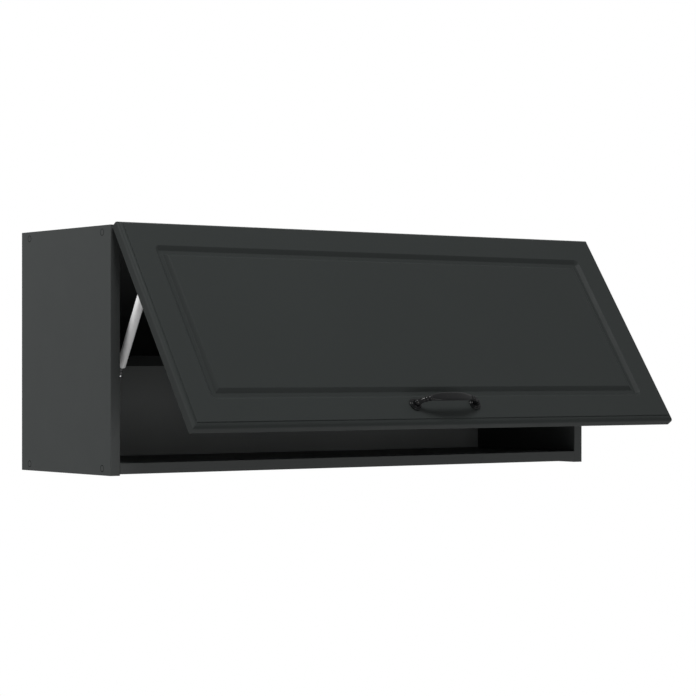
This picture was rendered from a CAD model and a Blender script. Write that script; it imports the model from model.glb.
import math
import bmesh
import bpy
from mathutils import Matrix, Vector


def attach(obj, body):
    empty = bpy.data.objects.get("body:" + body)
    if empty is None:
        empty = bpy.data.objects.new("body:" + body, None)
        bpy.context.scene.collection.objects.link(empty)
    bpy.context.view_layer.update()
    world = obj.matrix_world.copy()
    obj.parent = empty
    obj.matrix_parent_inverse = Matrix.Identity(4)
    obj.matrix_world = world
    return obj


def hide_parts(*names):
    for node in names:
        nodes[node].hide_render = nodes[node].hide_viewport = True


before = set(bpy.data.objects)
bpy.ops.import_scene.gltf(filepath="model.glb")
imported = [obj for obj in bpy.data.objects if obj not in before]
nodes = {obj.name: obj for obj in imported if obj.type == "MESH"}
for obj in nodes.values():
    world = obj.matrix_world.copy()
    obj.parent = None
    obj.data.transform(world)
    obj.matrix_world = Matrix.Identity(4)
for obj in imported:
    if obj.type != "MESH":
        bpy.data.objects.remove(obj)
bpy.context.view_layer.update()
print("stage: frame loaded,", len(nodes), "nodes")

# everything below is drawn in millimetres and brought to metres by this
mm = 0.001

# the cabinet's own planes, as the frame has them
cabinet = {
    "halfWidth": 450.0,
    "innerHalf": 434.0,
    "top": 10.0,
    "bottom": -350.0,
    "front": -264.0,
    "boardHalf": 8.0,      # half a board, so the top panel runs from -8 to 8
    "lowPanel": -340.0,    # middle of the bottom panel
    "shelfLow": -192.5,
    "shelfFront": -176.0,
    "shelfEnd": 433.0,
    "band": 1.0,           # thickness of the edge strips
}

# the flap turns about this line, and stands open by this angle in the drawn pose
flap = {"hingeY": -267.5, "hingeZ": 6.0, "openBy": 35.0}


def raised():
    # closed-door millimetres to the drawn pose
    pivot = Matrix.Translation((0, flap["hingeY"], flap["hingeZ"]))
    turn = Matrix.Rotation(-math.radians(flap["openBy"]), 4, "X")
    return pivot @ turn @ pivot.inverted()


def addObject(name, data):
    obj = bpy.data.objects.new(name, data)
    bpy.context.scene.collection.objects.link(obj)
    return obj


def newMaterial(name):
    mat = bpy.data.materials.new(name)
    mat.use_nodes = True
    tree = mat.node_tree
    return mat, tree, tree.nodes["Principled BSDF"]


def addNode(tree, kind, inputs=None, **settings):
    node = tree.nodes.new(kind)
    for key, value in settings.items():
        setattr(node, key, value)
    for key, value in (inputs or {}).items():
        if isinstance(value, bpy.types.NodeSocket):
            tree.links.new(value, node.inputs[key])
        else:
            node.inputs[key].default_value = value
    return node


def calc(tree, operation, a, b=0.0):
    return addNode(tree, "ShaderNodeMath", {0: a, 1: b}, operation=operation).outputs[0]


def span(tree, value, low, high, toLow, toHigh):
    limits = {0: value, 1: low, 2: high, 3: toLow, 4: toHigh}
    return addNode(tree, "ShaderNodeMapRange", limits).outputs[0]


def objectCoords(tree):
    return addNode(tree, "ShaderNodeTexCoord").outputs["Object"]


def axesOf(tree, coords):
    return addNode(tree, "ShaderNodeSeparateXYZ", {0: coords}).outputs


def grain(tree, coords, size, detail=3.0, roughness=0.5, stretch=(1, 1, 1)):
    # a noise whose features are about this many millimetres across
    spread = tuple(1000.0 / size / s for s in stretch)
    moved = addNode(tree, "ShaderNodeMapping", {"Vector": coords, "Scale": spread}).outputs[0]
    noise = {"Vector": moved, "Scale": 1.0, "Detail": detail, "Roughness": roughness}
    return addNode(tree, "ShaderNodeTexNoise", noise).outputs["Fac"]


def ramp(tree, value, stops):
    node = addNode(tree, "ShaderNodeValToRGB", {0: value})
    bar = node.color_ramp
    while len(bar.elements) > 1:
        bar.elements.remove(bar.elements[-1])
    for i, (at, colour) in enumerate(stops):
        stop = bar.elements[0] if i == 0 else bar.elements.new(at)
        stop.position = at
        stop.color = (*colour, 1)
    return node.outputs[0]


def blendColour(tree, share, a, b, how="MIX"):
    node = addNode(tree, "ShaderNodeMix", data_type="RGBA", blend_type=how)
    for socket, value in ((node.inputs[0], share), (node.inputs[6], a), (node.inputs[7], b)):
        if isinstance(value, bpy.types.NodeSocket):
            tree.links.new(value, socket)
        elif isinstance(value, (int, float)):
            socket.default_value = value
        else:
            socket.default_value = (*value, 1)
    return node.outputs[2]


def tinted(tree, tone, shade):
    # the tone made lighter and darker by a grey shade near 1
    grey = addNode(tree, "ShaderNodeCombineColor", {0: shade, 1: shade, 2: shade}).outputs[0]
    return blendColour(tree, 1.0, tone, grey, "MULTIPLY")


def dress(tree, bsdf, colour, rough, fixed, layers):
    # fixed values sit on the shader's own sockets; a layer is (height, depth in millimetres)
    tree.links.new(colour, bsdf.inputs["Base Color"])
    tree.links.new(rough, bsdf.inputs["Roughness"])
    for socket, value in fixed.items():
        bsdf.inputs[socket].default_value = value
    normal = None
    for height, depth in layers:
        values = {"Height": height, "Strength": 1.0, "Distance": depth * mm}
        if normal is not None:
            values["Normal"] = normal
        normal = addNode(tree, "ShaderNodeBump", values).outputs[0]
    tree.links.new(normal, bsdf.inputs["Normal"])


# most of a noise lies in the first band, and of a broad cloudy one in the second
noiseBand = (0.3, 0.7)
cloudBand = (0.35, 0.65)

# in the dictionaries of the finishes a noise is (size in mm, detail, roughness, stretch)
boardSkin = {
    "sheen": 0.04,             # specular level, of the door's foil and the back too
    "polish": 0.43,
    "cloud": (160.0, 2.0),
    "cloudTone": (0.985, 1.015),
    "pearl": (0.55, 2.0, 0.6),
    "pearlTone": (0.94, 1.06),
    "smear": (45.0, 3.0, 0.6),
    "smearDulls": 0.07,
    "orange": (3.5, 2.0),
    "orangeDeep": 0.02,
    "pits": (0.35, 2.0, 0.7),
    "pitsDeep": 0.012,
    "rawBehind": -0.45,        # the raw core shows on faces behind this y
    "rawRough": 0.85,
    "chipScale": 520.0,
    "chipTones": [(0.0, (0.10, 0.055, 0.026)), (0.3, (0.27, 0.17, 0.09)),
                  (0.65, (0.42, 0.29, 0.165)), (1.0, (0.56, 0.42, 0.27))],
}


def rawCore(tree, coords, core):
    # core is (axis, low, high) in mm, where the raw board shows at the rear edge
    s = boardSkin
    axis, low, high = core
    xyz = axesOf(tree, coords)
    along = calc(tree, "ABSOLUTE", xyz[axis])
    inside = calc(tree, "MULTIPLY", calc(tree, "GREATER_THAN", along, low * mm),
                  calc(tree, "LESS_THAN", along, high * mm))
    behind = calc(tree, "GREATER_THAN", xyz[1], s["rawBehind"] * mm)
    rear = calc(tree, "MULTIPLY", inside, behind)
    cells = {"Vector": coords, "Scale": s["chipScale"], "Randomness": 1.0}
    chips = addNode(tree, "ShaderNodeTexVoronoi", cells).outputs["Color"]
    lump = addNode(tree, "ShaderNodeSeparateColor", {0: chips}).outputs[0]
    return rear, ramp(tree, lump, s["chipTones"])


def melamineFinish(name, tone, core=None, polish=boardSkin["polish"]):
    s = boardSkin
    mat, tree, bsdf = newMaterial(name)
    coords = objectCoords(tree)
    cloud = grain(tree, coords, *s["cloud"])
    pearl = grain(tree, coords, *s["pearl"])
    shade = calc(tree, "MULTIPLY", span(tree, cloud, *cloudBand, *s["cloudTone"]),
                 span(tree, pearl, *noiseBand, *s["pearlTone"]))
    colour = tinted(tree, tone, shade)
    smear = grain(tree, coords, *s["smear"])
    rough = span(tree, smear, *noiseBand, polish, polish + s["smearDulls"])
    if core:
        rear, wood = rawCore(tree, coords, core)
        colour = blendColour(tree, rear, colour, wood)
        rough = calc(tree, "MAXIMUM", rough, calc(tree, "MULTIPLY", rear, s["rawRough"]))
    pits = grain(tree, coords, *s["pits"])
    orange = grain(tree, coords, *s["orange"])
    dress(tree, bsdf, colour, rough, {"Specular IOR Level": s["sheen"]},
          [(orange, s["orangeDeep"]), (pits, s["pitsDeep"])])
    return mat


foilSkin = {
    "cloud": (220.0, 2.0),
    "cloudTone": (0.985, 1.015),
    "pebble": (0.9, 3.0, 0.55),
    "pebbleTone": (0.95, 1.05),
    "pebbleDeep": 0.022,
    "smear": (70.0, 4.0, 0.6),
    "smearRough": (0.41, 0.48),
    "wave": (28.0, 2.0),
    "waveDeep": 0.05,
}


def foilFinish(name, tone):
    # the soft matt foil pressed over the door: faint leathery pebble and a cloudy sheen
    s = foilSkin
    mat, tree, bsdf = newMaterial(name)
    coords = objectCoords(tree)
    cloud = grain(tree, coords, *s["cloud"])
    pebble = grain(tree, coords, *s["pebble"])
    shade = calc(tree, "MULTIPLY", span(tree, cloud, *cloudBand, *s["cloudTone"]),
                 span(tree, pebble, *noiseBand, *s["pebbleTone"]))
    colour = tinted(tree, tone, shade)
    smear = grain(tree, coords, *s["smear"])
    rough = span(tree, smear, *noiseBand, *s["smearRough"])
    wave = grain(tree, coords, *s["wave"])
    dress(tree, bsdf, colour, rough, {"Specular IOR Level": boardSkin["sheen"]},
          [(wave, s["waveDeep"]), (pebble, s["pebbleDeep"])])
    return mat


backSkin = {
    "fibre": (2.2, 6.0, 0.7),
    "fibreStops": ((0.25, 0.72), (0.5, 1.0), (0.78, 1.3)),
    "fibreDeep": 0.03,
    "fleck": (0.7, 2.0, 0.7, (1, 1, 2.5)),
    "fleckBand": (0.55, 0.75),
    "fleckShare": 0.35,
    "fleckTone": 0.45,
    "fleckDeep": 0.02,
    "cloud": (130.0, 2.0),
    "cloudTone": (0.96, 1.04),
    "rough": (0.42, 0.78),     # lacquered, bare
}


def backBoardFinish(name, front, rear, splitY):
    # lacquered on the inside, bare brown fibreboard towards the wall
    s = backSkin
    mat, tree, bsdf = newMaterial(name)
    coords = objectCoords(tree)
    fibre = grain(tree, coords, *s["fibre"])
    fleck = grain(tree, coords, *s["fleck"])
    stops = [(at, tuple(min(c * by, 1) for c in rear)) for at, by in s["fibreStops"]]
    bare = ramp(tree, fibre, stops)
    flecked = span(tree, fleck, *s["fleckBand"], 0.0, s["fleckShare"])
    bare = blendColour(tree, flecked, bare, tuple(c * s["fleckTone"] for c in rear))
    isRear = calc(tree, "GREATER_THAN", axesOf(tree, coords)[1], splitY * mm)
    cloud = grain(tree, coords, *s["cloud"])
    lacquer = tinted(tree, front, span(tree, cloud, *cloudBand, *s["cloudTone"]))
    colour = blendColour(tree, isRear, lacquer, bare)
    rough = span(tree, isRear, 0.0, 1.0, *s["rough"])
    dress(tree, bsdf, colour, rough, {"Specular IOR Level": boardSkin["sheen"]},
          [(fibre, s["fibreDeep"]), (fleck, s["fleckDeep"])])
    return mat


metalSkin = {
    "patch": (6.0, 4.0, 0.6),
    "fine": (3.0, 0.6),        # without its size, which each metal gives
    "fineTone": (0.97, 1.03),
    "roughBy": (0.8, 1.25),
}


def metalFinish(name, tone, rough, grainSize, mottle, depth=0.006):
    s = metalSkin
    mat, tree, bsdf = newMaterial(name)
    coords = objectCoords(tree)
    patch = grain(tree, coords, *s["patch"])
    fine = grain(tree, coords, grainSize, *s["fine"])
    shade = calc(tree, "MULTIPLY", span(tree, patch, *noiseBand, 1 - mottle, 1 + mottle),
                 span(tree, fine, *noiseBand, *s["fineTone"]))
    uneven = span(tree, patch, *noiseBand, *(rough * by for by in s["roughBy"]))
    dress(tree, bsdf, tinted(tree, tone, shade), uneven, {"Metallic": 1.0}, [(fine, depth)])
    return mat


paintSkin = {
    "peel": (1.4, 2.0, 0.5),
    "dust": (9.0, 4.0, 0.65),
    "dustTone": (0.95, 1.05),
    "roughBy": (0.85, 1.2),
    "edgeBand": (0.54, 0.62),  # pointiness from which an edge is rubbed
    "underneath": (0.22, 0.20, 0.18),
}


def paintFinish(name, tone, rough, peelDeep, specular=0.5, wear=0.0):
    # sprayed or powder-coated metal, with orange peel and a little dust in the tone
    s = paintSkin
    mat, tree, bsdf = newMaterial(name)
    coords = objectCoords(tree)
    peel = grain(tree, coords, *s["peel"])
    dust = grain(tree, coords, *s["dust"])
    colour = tinted(tree, tone, span(tree, dust, *noiseBand, *s["dustTone"]))
    if wear:
        # rubbed edges show a little of the metal underneath
        edge = addNode(tree, "ShaderNodeNewGeometry").outputs["Pointiness"]
        rubbed = calc(tree, "MULTIPLY", span(tree, edge, *s["edgeBand"], 0.0, wear), dust)
        colour = blendColour(tree, rubbed, colour, s["underneath"])
    uneven = span(tree, dust, *noiseBand, *(rough * by for by in s["roughBy"]))
    dress(tree, bsdf, colour, uneven, {"Specular IOR Level": specular}, [(peel, peelDeep)])
    return mat


plasticSkin = {
    "spark": (0.4, 2.0, 0.7),
    "flow": (14.0, 3.0, 0.5),
    "flowTone": (0.96, 1.04),
    "roughBy": (0.85, 1.15),
    "clearIor": 1.42,
}


def plasticFinish(name, tone, rough, texture=0.01, clear=0.0, specular=0.5):
    # moulded plastic: fine spark texture, slightly uneven gloss
    s = plasticSkin
    mat, tree, bsdf = newMaterial(name)
    coords = objectCoords(tree)
    spark = grain(tree, coords, *s["spark"])
    flow = grain(tree, coords, *s["flow"])
    colour = tinted(tree, tone, span(tree, flow, *noiseBand, *s["flowTone"]))
    uneven = span(tree, flow, *noiseBand, *(rough * by for by in s["roughBy"]))
    fixed = {"Specular IOR Level": specular}
    if clear:
        fixed.update({"Transmission Weight": clear, "IOR": s["clearIor"]})
    dress(tree, bsdf, colour, uneven, fixed, [(spark, texture)])
    return mat


beechSkin = {
    "lines": (1.1, 4.0, 0.6, (12, 1, 1)),
    "tones": [(0.3, (0.50, 0.33, 0.18)), (0.6, (0.68, 0.50, 0.30)), (0.8, (0.76, 0.60, 0.40))],
    "rough": (0.55, 0.7),
    "deep": 0.04,
}


def beechFinish(name):
    s = beechSkin
    mat, tree, bsdf = newMaterial(name)
    lines = grain(tree, objectCoords(tree), *s["lines"])
    colour = ramp(tree, lines, s["tones"])
    rough = span(tree, lines, *noiseBand, *s["rough"])
    dress(tree, bsdf, colour, rough, {}, [(lines, s["deep"])])
    return mat


anthracite = (0.0388, 0.0420, 0.0415)
finish = {
    "sideBoard": melamineFinish("anthraciteSides", anthracite, (0, 434.3, 449.7)),
    "topBoard": melamineFinish("anthraciteTop", anthracite, (2, 0.0, 7.7)),
    "bottomBoard": melamineFinish("anthraciteBottom", anthracite, (2, 332.3, 347.7)),
    "shelfBoard": melamineFinish("anthraciteShelf", anthracite),
    "edgeStrip": melamineFinish("anthraciteEdgeStrip", (0.0455, 0.0480, 0.0475), polish=0.27),
    "shelfStrip": melamineFinish("darkShelfEdging", (0.0135, 0.0145, 0.0145), polish=0.40),
    "doorFoil": foilFinish("doorFoil", (0.0190, 0.0214, 0.0209)),
    "doorBack": melamineFinish("doorBackFoil", (0.033, 0.0355, 0.035)),
    "backBoard": backBoardFinish("backBoard", (0.115, 0.120, 0.119), (0.20, 0.125, 0.07), -10.2),
    "zinc": metalFinish("zincPlate", (0.56, 0.57, 0.60), 0.34, 1.0, 0.12),
    "nickel": metalFinish("nickelPlate", (0.62, 0.60, 0.56), 0.22, 0.8, 0.04),
    "strutGrey": paintFinish("strutGrey", (0.80, 0.80, 0.80), 0.32, 0.006),
    "cylinderBlack": paintFinish("cylinderBlack", (0.022, 0.022, 0.023), 0.30, 0.006),
    "polished": metalFinish("polishedBall", (0.72, 0.72, 0.73), 0.12, 0.5, 0.02, 0.002),
    "handleBlack": paintFinish("handleBlack", (0.0045, 0.0047, 0.0050), 0.12, 0.003, 0.10, 0.5),
    "hangerPlastic": plasticFinish("hangerPlastic", (0.55, 0.55, 0.53), 0.42),
    "coverPlastic": plasticFinish("coverPlastic", (0.62, 0.62, 0.60), 0.38),
    "capPlastic": plasticFinish("capPlastic", (0.0370, 0.0400, 0.0395), 0.45, specular=0.05),
    "capShadow": plasticFinish("capShadow", (0.003, 0.003, 0.003), 0.80, specular=0.02),
    "socketPlastic": plasticFinish("socketPlastic", (0.018, 0.018, 0.018), 0.40, 0.015),
    "softBuffer": plasticFinish("softBuffer", (0.80, 0.80, 0.78), 0.25, 0.004, clear=0.6),
    "beech": beechFinish("beechDowel"),
}
print("stage: finishes made,", len(finish))


def settle(obj):
    # the modifiers so far become the mesh
    graph = bpy.context.evaluated_depsgraph_get()
    made = bpy.data.meshes.new_from_object(obj.evaluated_get(graph))
    obj.modifiers.clear()
    obj.data = made


def softShade(bm, degrees):
    limit = math.radians(degrees)
    for face in bm.faces:
        face.smooth = True
    for edge in bm.edges:
        edge.smooth = len(edge.link_faces) == 2 and edge.calc_face_angle(0.0) < limit


weld = {"within": 0.0004, "shortest": 0.0003}


def finishPiece(bm, name, body, materials, stands, degrees=32.0, place=None):
    # welds, moves into place, shades and hangs a drawn piece on its body
    bmesh.ops.remove_doubles(bm, verts=bm.verts, dist=weld["within"])
    bmesh.ops.dissolve_degenerate(bm, dist=weld["shortest"], edges=bm.edges)
    bmesh.ops.recalc_face_normals(bm, faces=bm.faces)
    softShade(bm, degrees)
    mesh = bpy.data.meshes.new(name)
    bm.transform(Matrix.Scale(mm, 4) @ (place or Matrix.Identity(4)))
    bm.to_mesh(mesh)
    bm.free()
    obj = addObject(name, mesh)
    for mat in materials:
        mesh.materials.append(mat)
    obj.modifiers.new("flatsStayFlat", "WEIGHTED_NORMAL").keep_sharp = True
    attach(obj, body)
    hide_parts(*stands)
    return obj


def loopFaces(bm, loops, slotIndex=0):
    # quads between neighbouring rings of vertices
    for a, b in zip(loops, loops[1:]):
        count = len(a)
        for i in range(count):
            j = (i + 1) % count
            bm.faces.new((a[i], a[j], b[j], b[i])).material_index = slotIndex


def lathe(bm, profile, steps, place=None, slotIndex=0):
    # profile is [(radius, height), ...] about the z axis; ends on the axis close themselves
    move = place or Matrix.Identity(4)
    rings = []
    for r, z in profile:
        ring = []
        for i in range(steps):
            a = 2 * math.pi * i / steps
            ring.append(bm.verts.new(move @ Vector((r * math.cos(a), r * math.sin(a), z))))
        rings.append(ring)
    loopFaces(bm, rings, slotIndex)


def arc(cx, cy, r, start, end, steps):
    turns = [math.radians(start + (end - start) * i / steps) for i in range(steps + 1)]
    return [(cx + r * math.cos(a), cy + r * math.sin(a)) for a in turns]


doorShape = {
    "halfWidth": 448.0,
    "low": -348.0,
    "high": 8.0,
    "faceY": -284.0,
    "thick": 18.0,
    "backEase": 0.8,       # rounding of the edge at the back
    "mould": 7.0,          # radius of the rounded edge
    "step": 1.3,           # small step between that and the face
    "grooveMid": 54.0,
    "grooveWide": 18.0,
    "grooveFloor": 6.0,
    "grooveDeep": 5.0,
    "cornerSteps": 10,
    "cupX": 330.0,
    "cupZ": -14.0,
    "cupBore": 17.5,
    "cupDeep": 12.5,
    "cupLip": (0.3, 0.25), # depth and flare of the bore's eased lip
    "cupSteps": 64,
    "foilOver": 3.0,       # how far the foil wraps onto the back
    "sharpOver": 28.0,
}


def doorLoop(bm, inset, depth, radius):
    s = doorShape
    n = s["cornerSteps"]
    x = s["halfWidth"] - inset - radius
    low, high = s["low"] + inset + radius, s["high"] - inset - radius
    y = s["faceY"] + depth
    ring = []
    for cx, cz, start in ((x, low, -90), (x, high, 0), (-x, high, 90), (-x, low, 180)):
        for i in range(n + 1):
            a = math.radians(start + 90 * i / n)
            ring.append(bm.verts.new((cx + radius * math.cos(a), y, cz + radius * math.sin(a))))
    return ring


def doorProfile():
    # (inset from the edge, depth from the face, corner radius), from the back round to the middle
    s = doorShape
    r, step, thick, ease = s["mould"], s["step"], s["thick"], s["backEase"]
    rows = [(s["foilOver"], thick, 0.0), (ease, thick, 0.0)]
    rows += [(ease - x, thick - ease + y, 0.0) for x, y in arc(0, 0, ease, 90, 0, 3)[1:]]
    rows += [(r - x, r + step - y, 0.0) for x, y in arc(0, 0, r, 0, 90, 12)]
    rows += [(r + 0.05, step - 0.2, 0.0), (r + 0.10, 0.22, 0.0)]
    rows += [(r + 0.20, 0.06, 0.0), (r + 0.42, 0.0, 0.0)]
    # one wall of the groove, from the face to the middle of its floor,
    # as (distance from the middle, depth)
    half, floor = s["grooveWide"] / 2, s["grooveFloor"] / 2
    deep, mid = s["grooveDeep"], s["grooveMid"]
    fall = deep / (half - floor)
    wall = [(half + 3.0, 0.0), (half + 0.45, 0.0), (half + 0.1, 0.06), (half - 0.25, 0.3)]
    wall += [(half - 0.6, 0.6 * fall), (floor + 0.7, deep - 0.7 * fall), (floor + 0.3, deep - 0.32)]
    wall += [(floor - 0.1, deep - 0.1), (floor - 0.5, deep - 0.02), (0.0, deep - 0.02)]
    rows += [(mid - away, depth, away) for away, depth in wall]
    rows += [(mid + away, depth, 0.0) for away, depth in reversed(wall[:-1])]
    return rows


def boreRings(bm, side, backY):
    # one hinge cup's bore, from the door's back inwards
    s = doorShape
    count = s["cupSteps"]
    lipDeep, lipFlare = s["cupLip"]
    bores = []
    for depth, grow in ((0.0, lipFlare), (lipDeep, 0.0), (s["cupDeep"], 0.0)):
        r = s["cupBore"] + grow
        ring = []
        for i in range(count):
            a = 2 * math.pi * i / count
            x, z = side * s["cupX"] + r * math.cos(a), s["cupZ"] + r * math.sin(a)
            ring.append(bm.verts.new((x, backY - depth, z)))
        bores.append(ring)
    return bores


def makeDoor():
    s = doorShape
    bm = bmesh.new()
    rings = [doorLoop(bm, *row) for row in doorProfile()]
    loopFaces(bm, rings)
    bm.faces.new(rings[-1])
    # the back, with a round bore for each hinge cup
    backY = s["faceY"] + s["thick"]
    edges = []
    outer = [rings[0][i] for i in range(0, len(rings[0]), s["cornerSteps"] + 1)]
    corners = [bm.verts.new(v.co.copy()) for v in outer]
    for i, v in enumerate(corners):
        edges.append(bm.edges.new((v, corners[(i + 1) % 4])))
    for side in (-1, 1):
        bores = boreRings(bm, side, backY)
        loopFaces(bm, bores, 1)
        bm.faces.new(bores[-1]).material_index = 1
        mouth = bores[0]
        for i, v in enumerate(mouth):
            edges.append(bm.edges.get((v, mouth[(i + 1) % len(mouth)])))
    filled = bmesh.ops.triangle_fill(bm, use_beauty=True, use_dissolve=False, edges=edges)
    for item in filled["geom"]:
        if isinstance(item, bmesh.types.BMFace):
            item.material_index = 1
    finishPiece(bm, "doorLeaf", "door", [finish["doorFoil"], finish["doorBack"]],
                ["door_panel"], s["sharpOver"], raised())


makeDoor()
print("stage: door made")


handleShape = {
    "pitch": 112.0,
    "height": -317.0,      # of the two feet on the closed door
    "faceY": -284.0,
    "rise": 24.2,
    "bowPower": 2.6,
    "round": 6.0,          # the bow where it is round
    "wide": 14.5,          # the leaf across its middle
    "flat": 0.42,          # half the leaf's thickness, as a share of the round
    "leafSpan": 0.73,
    "leafPowers": (4, 1.4),
    "dish": 0.6,           # how far the leaf's front is hollowed
    "dishHalf": 0.78,
    "squared": 0.9,        # below 1 the oval is a little square, like filed metal
    "root": 4.0,
    "legRise": 7.0,
    "legReach": 0.1,
    "legSwell": 1.7,
    "legTight": 4,         # the swell keeps to this part of each leg, 1 in 4
    "legPower": 1.2,
    "beads": (44.0, 39.0), # turned rings, from the middle
    "beadHalf": 2.3,
    "beadRise": 0.95,
    "steps": 180,
    "sides": 36,
    "footRadius": 10.0,
    "footSteps": 96,
    "knob": 5.0,
    "knobOff": 6.0,
    "sharpOver": 40.0,
}


def bowPoint(t):
    s = handleShape
    share = 1 - abs(2 * t - 1)
    peak = s["rise"] - s["round"] * s["flat"]
    height = (s["root"] + s["legRise"] * (1 - math.exp(-share / s["legReach"]))
              + (peak - s["root"] - s["legRise"]) * (1 - (1 - share) ** s["bowPower"]))
    return Vector((s["pitch"] * (t - 0.5), height))


def bowSection(t):
    # half width, half thickness, and the hollow of the leaf's front
    s = handleShape
    off = abs(2 * t - 1)
    half = s["round"] / 2
    inner, outer = s["leafPowers"]
    leaf = (1 - min(1.0, off / s["leafSpan"]) ** inner) ** outer
    leg = s["legSwell"] * max(0.0, 1 - s["legTight"] * (1 - off)) ** s["legPower"]
    bead = 0.0
    for at in s["beads"]:
        near = (off * s["pitch"] / 2 - at) / s["beadHalf"]
        if abs(near) < 1:
            bead = max(bead, s["beadRise"] * math.sqrt(1 - near * near))
    wide = half + (s["wide"] / 2 - half) * leaf + leg + bead
    thick = half + (s["round"] * s["flat"] - half) * leaf + leg + bead
    return wide, thick, s["dish"] * leaf


def footProfile():
    # a plain stepped rosette, a ring, and the ball that the bow springs from
    s = handleShape
    rim, knob, off = s["footRadius"], s["knob"], s["knobOff"]
    profile = [(2.6, 0.0), (rim - 0.7, 0.0)] + arc(rim - 1.3, 1.3, 1.3, -60, 90, 8)
    profile += [(rim - 2.0, 2.55), (rim - 2.55, 2.3)] + arc(rim - 3.8, 2.5, 1.15, -8, 150, 10)
    profile += [(4.65, 3.05)]
    turns = [math.radians(d) for d in range(-31, 90, 7)]
    profile += [(knob * math.cos(a), off + knob * math.sin(a)) for a in turns]
    return profile + [(0.0, off + knob)]


def makeHandle():
    s = handleShape
    bm = bmesh.new()
    n = s["steps"]
    shares = [0.5 - 0.5 * math.cos(math.pi * i / n) for i in range(n + 1)]
    rings = []
    for i, t in enumerate(shares):
        run = (bowPoint(shares[min(i + 1, n)]) - bowPoint(shares[max(i - 1, 0)])).normalized()
        middle = bowPoint(t)
        halfWide, halfThick, hollow = bowSection(t)
        ring = []
        for j in range(s["sides"]):
            angle = 2 * math.pi * j / s["sides"]
            out, across = math.cos(angle), math.sin(angle)
            lift = math.copysign(abs(out) ** s["squared"], out) * halfThick
            if out > 0:
                lift -= hollow * max(0.0, 1 - (across / s["dishHalf"]) ** 2)
            wide = math.copysign(abs(across) ** s["squared"], across) * halfWide
            ring.append(bm.verts.new((middle.x - run.y * lift, wide, middle.y + run.x * lift)))
        rings.append(ring)
    loopFaces(bm, rings)
    bm.faces.new(list(reversed(rings[0])))
    bm.faces.new(rings[-1])
    for side in (-1, 1):
        foot = Matrix.Translation((side * s["pitch"] / 2, 0, 0))
        lathe(bm, footProfile(), s["footSteps"], foot)
    outward = Matrix.Rotation(math.radians(90), 4, "X")
    place = raised() @ Matrix.Translation((0, s["faceY"], s["height"])) @ outward
    finishPiece(bm, "bowHandle", "door", [finish["handleBlack"]],
                ["handle"], s["sharpOver"], place)


makeHandle()
print("stage: handle made")


stripShape = {"ease": 0.95, "easeTurns": (0, 22.5, 45, 67.5, 90), "sharpOver": 35.0}


def stripBlocks():
    # (low corner, high corner, which tape) of each strip
    c = cabinet
    front, back, half = c["front"], c["front"] + c["band"], c["boardHalf"]
    blocks = []
    for side in (-1, 1):
        xs = sorted((side * c["innerHalf"], side * c["halfWidth"]))
        blocks.append(((xs[0], front, c["bottom"]), (xs[1], back, c["top"]), 0))
    for z in (0.0, c["lowPanel"]):
        blocks.append(((-c["innerHalf"], front, z - half), (c["innerHalf"], back, z + half), 0))
    blocks.append(((-c["shelfEnd"], c["shelfFront"], c["shelfLow"]),
                   (c["shelfEnd"], c["shelfFront"] + c["band"], c["shelfLow"] + 2 * half), 1))
    return blocks


def makeStrips():
    bm = bmesh.new()
    e = stripShape["ease"]
    turns = [math.radians(a) for a in stripShape["easeTurns"]]
    for low, high, tape in stripBlocks():
        # flat at the glue line, eased along the front
        across = 0 if high[0] - low[0] < high[2] - low[2] else 2
        along = 2 - across
        near, far, y = low[across], high[across], low[1]
        profile = [(near, high[1]), (near, y + e)]
        profile += [(near + e - e * math.cos(a), y + e - e * math.sin(a)) for a in turns[1:]]
        profile += [(far - e + e * math.sin(a), y + e - e * math.cos(a)) for a in turns]
        profile += [(far, high[1])]
        rings = []
        for at in (low[along], high[along]):
            ring = []
            for q, depth in profile:
                p = [0.0, depth, 0.0]
                p[across], p[along] = q, at
                ring.append(bm.verts.new(p))
            rings.append(ring)
        loopFaces(bm, rings, tape)
        bm.faces.new(rings[0]).material_index = tape
        bm.faces.new(list(reversed(rings[1]))).material_index = tape
    finishPiece(bm, "edgeStrips", "carcass", [finish["edgeStrip"], finish["shelfStrip"]],
                ["edge_bands"], stripShape["sharpOver"])


makeStrips()
print("stage: edge strips made")


capShape = {"radius": 5.0, "setback": 24.0, "proud": 0.1, "thick": 1.0, "ring": 0.8, "steps": 40}


def makeCaps():
    s = capShape
    c = cabinet
    bm = bmesh.new()
    r, t, ring = s["radius"], s["thick"], s["ring"]
    wall = [(0.0, 0.0), (r, 0.0), (r, t - 0.05), (r - ring, t - 0.05)]
    face = [(r - ring, t - 0.05), (r - 0.86, t), (r - 1.2, t)]
    face += [(r - 1.6, t - 0.06), (r - 2.4, t - 0.09), (0.0, t - 0.10)]
    for side in (-1, 1):
        for y in (c["front"] + s["setback"], -s["setback"]):
            for z in (0.0, c["lowPanel"]):
                turn = Matrix.Rotation(math.radians(90 * side), 4, "Y")
                x = side * (c["halfWidth"] + s["proud"] - t)
                at = Matrix.Translation((x, y, z)) @ turn
                lathe(bm, wall, s["steps"], at, 1)
                lathe(bm, face, s["steps"], at)
    finishPiece(bm, "screwCaps", "carcass",
                [finish["capPlastic"], finish["capShadow"]], ["screw_caps"])


bufferShape = {
    "radius": 4.0,
    "thick": 1.7,
    "rim": 0.35,           # height at which the dome starts
    "x": 442.0,
    "y": -266.0,
    "z": -326.0,
    "steps": 36,
    "sharpOver": 50.0,
}


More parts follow.
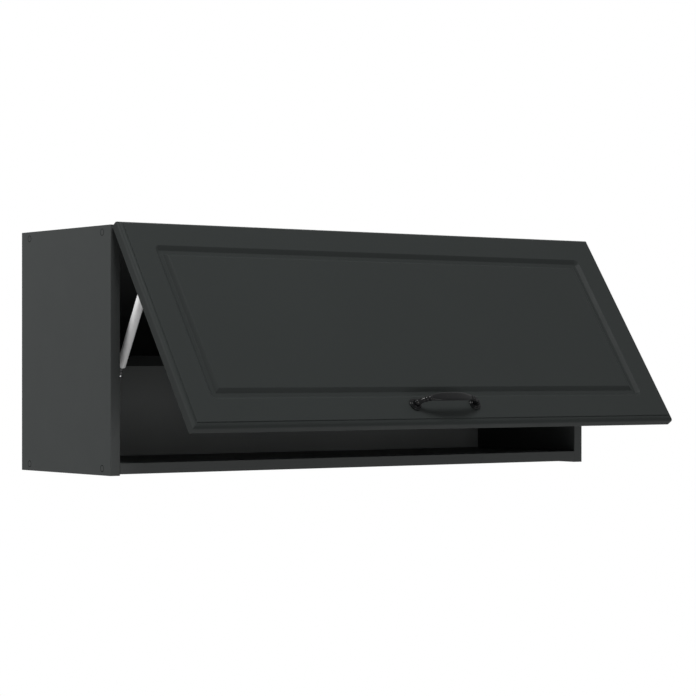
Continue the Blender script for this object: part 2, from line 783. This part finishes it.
def makeBuffers():
    s = bufferShape
    bm = bmesh.new()
    r, t, rim = s["radius"], s["thick"], s["rim"]
    profile = [(0.0, 0.0), (r - 0.1, 0.0), (r, 0.15), (r, rim)]
    turns = [math.radians(a) for a in range(10, 90, 10)]
    profile += [(r * math.cos(a), rim + (t - rim) * math.sin(a)) for a in turns]
    profile += [(0.0, t)]
    for side in (-1, 1):
        turn = Matrix.Rotation(math.radians(-90), 4, "X")
        at = Matrix.Translation((side * s["x"], s["y"], s["z"])) @ turn
        lathe(bm, profile, s["steps"], at)
    finishPiece(bm, "doorBuffers", "door", [finish["softBuffer"]],
                ["door_buffers"], s["sharpOver"], raised())


makeCaps()
makeBuffers()
print("stage: caps and buffers made")


strutShape = {
    "x": 414.0,
    "lowY": -225.6,
    "lowZ": -204.0,
    "closedY": -255.0,
    "closedZ": -76.5,
    "tubeRadius": 6.7,
    "tubeBore": 6.1,
    "tubeReach": 143.5,
    "seamFromLow": 102.0,
    "ribs": (-8.0, -6.6, -5.2),
    "headRadius": 6.2,
    "hollowRadius": 4.06,  # inside the head, round the door's ball
    "studRadius": 3.2,     # the way in for the ball's stud
    "studReach": 9.0,
    "cylinderRadius": 5.8,
    "cylinderReach": 93.0,
    "rodBore": 3.0,
    "boreFromLow": 18.0,
    "ballRadius": 5.8,
    "steps": 64,
    "sharpOver": 40.0,
}


def strutPlace(side):
    s = strutShape
    top = raised() @ Vector((0, s["closedY"], s["closedZ"]))
    lean = math.atan2(s["lowY"] - top.y, top.z - s["lowZ"])
    length = math.hypot(s["lowY"] - top.y, top.z - s["lowZ"])
    at = Matrix.Translation((side * s["x"], top.y, top.z))
    return at @ Matrix.Rotation(lean, 4, "X"), length


def strutPiece(bm, kind, node, body, skin, label, place):
    return finishPiece(bm, kind + label, body + label, [finish[skin]],
                       [node + label], strutShape["sharpOver"], place)


def makeTube(label, place, length):
    # rolled lip above, shallow seam ring, rolled shoulder and rounded end below
    s = strutShape
    ro, ri = s["tubeRadius"], s["tubeBore"]
    end = -s["tubeReach"]
    seam = -(length - s["seamFromLow"])
    bm = bmesh.new()
    outer = [(ri - 0.02, -9.3), (ro - 0.55, -9.05), (ro - 0.15, -9.25), (ro, -9.7)]
    outer += [(ro, seam + 1.3), (ro - 0.10, seam + 0.75), (ro - 0.26, seam)]
    outer += [(ro - 0.10, seam - 0.75), (ro, seam - 1.3)]
    outer += [(ro, end + 4.6), (ro - 0.16, end + 4.1), (ro - 0.16, end + 3.4), (ro, end + 2.9)]
    turns = [math.radians(a) for a in (0, 30, 60, 90)]
    outer += [(ro - 0.35 + 0.35 * math.cos(a), end + 0.35 - 0.35 * math.sin(a)) for a in turns]
    outer += [(ri + 0.1, end + 0.1), (ri, end + 0.4), (ri, end + 6.0), (ri, -60.0)]
    outer += [(ri, -9.3), (ri - 0.02, -9.3)]
    lathe(bm, outer, s["steps"])
    strutPiece(bm, "strutTube_", "strut_tube_", "strut_tube_", "strutGrey",
               label, place)


def socketKnife(place):
    # the ball's hollow and the stud's way in, as one cutting body
    s = strutShape
    carve = bmesh.new()
    bmesh.ops.create_uvsphere(carve, u_segments=48, v_segments=32, radius=s["hollowRadius"])
    r, deep = s["studRadius"], s["studReach"]
    way = bmesh.ops.create_cone(carve, cap_ends=True, segments=40, radius1=r, radius2=r, depth=deep)
    sideways = Matrix.Translation((deep / 2, 0, 0)) @ Matrix.Rotation(math.radians(90), 4, "Y")
    bmesh.ops.transform(carve, matrix=sideways, verts=way["verts"])
    mesh = bpy.data.meshes.new("carve")
    carve.transform(Matrix.Scale(mm, 4) @ place)
    carve.to_mesh(mesh)
    carve.free()
    return addObject("carve", mesh)


def makeSocket(label, place):
    # end fitting round the door's ball: a plug, a ribbed collar and a hollow head
    s = strutShape
    ro, ri, rh = s["tubeRadius"], s["tubeBore"], s["headRadius"]
    bm = bmesh.new()
    collar = [(0.0, -12.0), (ri - 0.35, -12.0), (ri - 0.05, -11.6), (ri - 0.05, -9.3)]
    collar += [(ro - 0.25, -9.0), (ro, -8.7)]
    for z in s["ribs"]:
        collar += [(ro, z), (ro - 0.35, z + 0.2), (ro - 0.35, z + 0.6), (ro, z + 0.8)]
    collar += [(ro, -3.4), (ro - 0.5, -2.5), (5.9, -2.1)]
    turns = [math.radians(a) for a in range(-18, 90, 6)]
    head = [(rh * math.cos(a), rh * math.sin(a)) for a in turns]
    lathe(bm, collar + head + [(0.0, rh)], s["steps"])
    obj = strutPiece(bm, "strutSocket_", "strut_socket_", "strut_tube_",
                     "socketPlastic", label, place)
    knife = socketKnife(place)
    cut = obj.modifiers.new("hollow", "BOOLEAN")
    cut.operation, cut.object, cut.solver = "DIFFERENCE", knife, "EXACT"
    cut.use_self = True
    obj.modifiers.move(len(obj.modifiers) - 1, 0)
    settle(obj)
    obj.modifiers.new("flatsStayFlat", "WEIGHTED_NORMAL").keep_sharp = True
    bpy.data.objects.remove(knife)


def makeCylinder(label, place, base):
    # gas cylinder with a waist near its lower end, and the bore for the rod
    s = strutShape
    rc, rb, rod = s["cylinderRadius"], s["ballRadius"], s["rodBore"]
    top = base + s["cylinderReach"]
    bm = bmesh.new()
    body = [(rod, top), (rc - 0.5, top), (rc, top - 0.5), (rc, base + 11.2)]
    body += [(rc - 0.25, base + 10.9), (rc - 1.05, base + 10.1), (rc - 1.15, base + 8.6)]
    body += [(rc - 1.05, base + 7.2), (rc - 0.2, base + 6.5), (rc, base + 6.1)]
    body += [(rc, base + 1.0), (rc - 0.15, base + 0.5), (rb - 0.4, base + 0.3)]
    body += [(rb - 0.6, base + 1.2)]
    lathe(bm, body, s["steps"])
    floor = base + s["boreFromLow"]
    lathe(bm, [(rod, top), (rod, floor), (0.0, floor)], s["steps"])
    strutPiece(bm, "strutCylinder_", "strut_cylinder_", "strut_cylinder_",
               "cylinderBlack", label, place)


def makeBall(label, place, base):
    # bright ball that sits in the cylinder's end, drawn up to just above its middle
    s = strutShape
    rb = s["ballRadius"]
    bm = bmesh.new()
    turns = [math.radians(a) for a in range(-84, -6, 6)]
    ball = [(0.0, base - rb)]
    ball += [(rb * math.cos(a), base + rb * math.sin(a)) for a in turns]
    ball += [(rb - 0.35, base - 0.1), (rb - 0.55, base + 2.0), (0.0, base + 2.4)]
    lathe(bm, ball, s["steps"])
    strutPiece(bm, "strutBall_", "strut_ball_", "strut_cylinder_", "polished",
               label, place)


def makeStrut(side, label):
    place, length = strutPlace(side)
    makeTube(label, place, length)
    makeSocket(label, place)
    makeCylinder(label, place, -length)
    makeBall(label, place, -length)


for side, label in ((-1, "left"), (1, "right")):
    makeStrut(side, label)
print("stage: struts made")


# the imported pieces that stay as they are, by the finish they take
finishOf = {
    "side_left": "sideBoard", "side_right": "sideBoard", "top_panel": "topBoard",
    "bottom_panel": "bottomBoard", "shelf": "shelfBoard", "back_panel": "backBoard",
    "shelf_pins": "zinc", "assembly_screws": "zinc", "dowels": "beech",
    "hanger_case_left": "hangerPlastic", "hanger_case_right": "hangerPlastic",
    "hanger_hooks": "zinc", "hanger_screws": "zinc", "hanger_covers": "coverPlastic",
    "hinge_plates": "nickel", "plate_screws": "zinc", "hinge_arms": "nickel",
    "arm_screws": "zinc", "strut_base_left": "zinc", "strut_base_right": "zinc",
    "strut_base_screws": "zinc", "handle_screws": "zinc", "hinge_cups": "nickel",
    "cup_screws": "zinc", "cup_pins": "nickel", "door_bracket_left": "zinc",
    "door_bracket_right": "zinc", "door_bracket_screws": "zinc",
    "hinge_link_left": "nickel", "hinge_link_right": "nickel",
    "strut_rod_left": "polished", "strut_rod_right": "polished",
}

# how far the sharp edges of some are eased, in millimetres
easedEdges = {
    "side_left": 0.35, "side_right": 0.35, "top_panel": 0.3, "bottom_panel": 0.3,
    "shelf": 0.4, "back_panel": 0.2, "hanger_case_left": 0.5, "hanger_case_right": 0.5,
    "hanger_hooks": 0.3, "hanger_covers": 0.35, "hinge_plates": 0.25, "hinge_arms": 0.3,
    "hinge_link_left": 0.3, "hinge_link_right": 0.3,
}
easing = {"segments": 2, "sharpOver": 50}

for name, kind in finishOf.items():
    obj = nodes[name]
    obj.data.materials.clear()
    obj.data.materials.append(finish[kind])
    if name in easedEdges:
        ease = obj.modifiers.new("easedEdges", "BEVEL")
        ease.width = easedEdges[name] * mm
        ease.segments = easing["segments"]
        ease.limit_method = "ANGLE"
        ease.angle_limit = math.radians(easing["sharpOver"])
        ease.harden_normals = True
print("stage: packed pieces finished,", len(finishOf))


def seenAsWhite(tree):
    # 1 for rays from the camera, and off metal or through glass
    path = addNode(tree, "ShaderNodeLightPath").outputs
    shiny = calc(tree, "MAXIMUM", path["Is Glossy Ray"], path["Is Transmission Ray"])
    return calc(tree, "MAXIMUM", path["Is Camera Ray"], shiny)


stageShape = {
    "floorZ": -1.75,
    "floorHalf": 30.0,
    "tone": 0.86,
    "rough": 0.9,
    "sheen": 0.1,
    "fadeFrom": 2.6,       # metres from under the cabinet
    "fadeTo": 4.6,
    "fade": (0.7, 1.0),
    "white": 1.0,
}


def makeFloor():
    s = stageShape
    mesh = bpy.data.meshes.new("studioFloor")
    h, z = s["floorHalf"], s["floorZ"]
    mesh.from_pydata([(-h, -h, z), (h, -h, z), (h, h, z), (-h, h, z)], [], [(0, 1, 2, 3)])
    obj = addObject("studioFloor", mesh)
    mat, tree, bsdf = newMaterial("paleFloor")
    bsdf.inputs["Base Color"].default_value = (s["tone"], s["tone"], s["tone"], 1)
    bsdf.inputs["Roughness"].default_value = s["rough"]
    bsdf.inputs["Specular IOR Level"].default_value = s["sheen"]
    under = {0: objectCoords(tree), 1: (0, 0, z)}
    away = addNode(tree, "ShaderNodeVectorMath", under, operation="DISTANCE").outputs["Value"]
    fade = span(tree, away, s["fadeFrom"], s["fadeTo"], *s["fade"])
    share = calc(tree, "MULTIPLY", seenAsWhite(tree), fade)
    white = {"Color": (1, 1, 1, 1), "Strength": s["white"]}
    glow = addNode(tree, "ShaderNodeEmission", white).outputs[0]
    mixed = addNode(tree, "ShaderNodeMixShader", {0: share, 1: bsdf.outputs[0], 2: glow})
    tree.links.new(mixed.outputs[0], tree.nodes["Material Output"].inputs["Surface"])
    mesh.materials.append(mat)


roomLight = {"ambient": 0.24, "white": 1.0}


def makeWorld():
    world = bpy.data.worlds.new("softRoom")
    bpy.context.scene.world = world
    world.use_nodes = True
    tree = world.node_tree
    strength = span(tree, seenAsWhite(tree), 0.0, 1.0, roomLight["ambient"], roomLight["white"])
    back = tree.nodes["Background"]
    back.inputs["Color"].default_value = (1, 1, 1, 1)
    tree.links.new(strength, back.inputs["Strength"])


# each lamp: where it stands, what it looks at, how wide it is and how strong
lamps = {
    "keyLeft": {"at": (-2.45, 0.3, 1.1), "to": (-0.45, -0.13, -0.17), "size": 1.4, "watts": 52.0},
    "frontHigh": {"at": (-0.55, -1.2, 2.05), "to": (-0.2, -0.38, -0.15),
                  "size": 0.7, "watts": 62.0},
    "inside": {"at": (0.3, -2.75, -0.62), "to": (0.0, -0.2, -0.25), "size": 1.1, "watts": 21.0},
    "behind": {"at": (1.6, 2.8, 1.4), "to": (0.0, 0.0, -0.1), "size": 2.4, "watts": 40.0},
}


def makeLamps():
    for name, s in lamps.items():
        data = bpy.data.lights.new(name, "AREA")
        data.shape = "SQUARE"
        data.size = s["size"]
        data.energy = s["watts"]
        obj = addObject(name, data)
        at, to = Vector(s["at"]), Vector(s["to"])
        obj.location = at
        obj.rotation_mode = "QUATERNION"
        obj.rotation_quaternion = (to - at).to_track_quat("-Z", "Y")
        obj.visible_camera = False


# the photograph's viewpoint: level, from the left, with the frame slid up a little
viewpoint = {
    "at": (-2.183154, -3.206381, -0.197179),
    "yaw": -36.206,
    "focalPixels": 2376.263,
    "imagePixels": 696.0,
    "horizonPixel": 369.281,
    "sensor": 36.0,
    "clip": (0.05, 200.0),
}


def makeCamera():
    s = viewpoint
    data = bpy.data.cameras.new("shot")
    obj = addObject("shot", data)
    data.sensor_width = s["sensor"]
    data.sensor_fit = "HORIZONTAL"
    data.lens = s["focalPixels"] / s["imagePixels"] * s["sensor"]
    data.shift_y = (s["horizonPixel"] - s["imagePixels"] / 2) / s["imagePixels"]
    data.clip_start, data.clip_end = s["clip"]
    obj.location = s["at"]
    obj.rotation_euler = (math.radians(90), 0, math.radians(s["yaw"]))
    bpy.context.scene.camera = obj


makeFloor()
makeWorld()
makeLamps()
makeCamera()
bpy.context.scene.view_settings.view_transform = "Standard"
print("stage: floor, light and camera set")

print("stage: boxes written")
